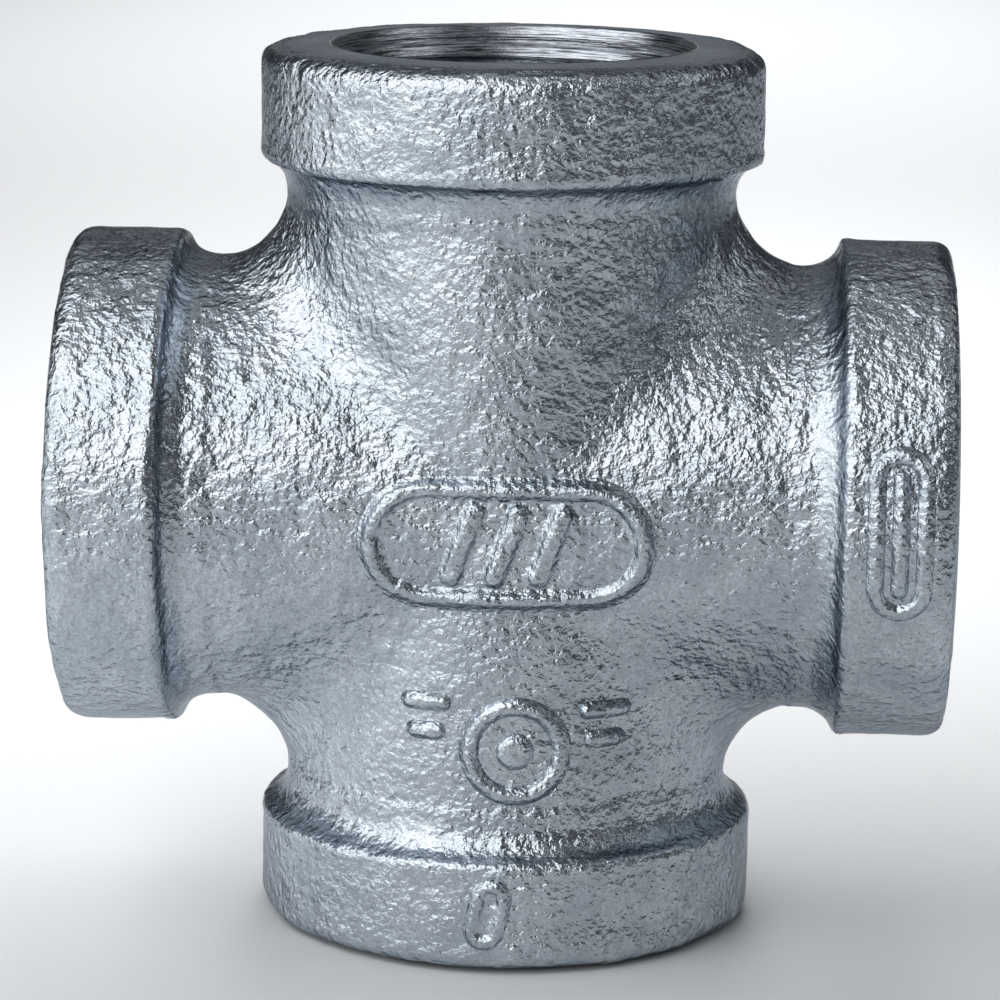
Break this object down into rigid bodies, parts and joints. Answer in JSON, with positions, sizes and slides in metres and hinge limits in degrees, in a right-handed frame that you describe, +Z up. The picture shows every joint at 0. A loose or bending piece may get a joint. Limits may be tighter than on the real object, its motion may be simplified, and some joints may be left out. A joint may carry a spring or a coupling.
{
  "type": "pipe cross fitting",
  "caption": "Equal four-way pipe cross in galvanised malleable iron, with a banded female-threaded port at each end of two crossing bores.",
  "frame": {"origin": "the point where the axes of the ports meet, which is the middle of the fitting", "axes": "+Z up the riser, out of the top port; +X along the run, out of the right-hand port; -Y towards the side with the raised marks"},
  "size_m": [0.0666, 0.0382, 0.0666],
  "materials": {
    "galvanised_casting": "hot-dip zinc over a rough as-cast skin: crinkled, satin to bright, blue-grey",
    "cut_thread": "bare iron as cut by the tap, with fine tool marks and a film of oil"
  },
  "bodies": {
    "root": {"body": "galvanised_casting", "band_top": "galvanised_casting", "band_bottom": "galvanised_casting", "band_left": "galvanised_casting", "band_right": "galvanised_casting", "thread_top": "cut_thread", "thread_bottom": "cut_thread", "thread_left": "cut_thread", "thread_right": "cut_thread", "mark_panel": "galvanised_casting", "mark_ring": "galvanised_casting", "mark_bars": "galvanised_casting", "mark_lower_band": "galvanised_casting", "mark_right_band": "galvanised_casting"}
  },
  "joints": []
}
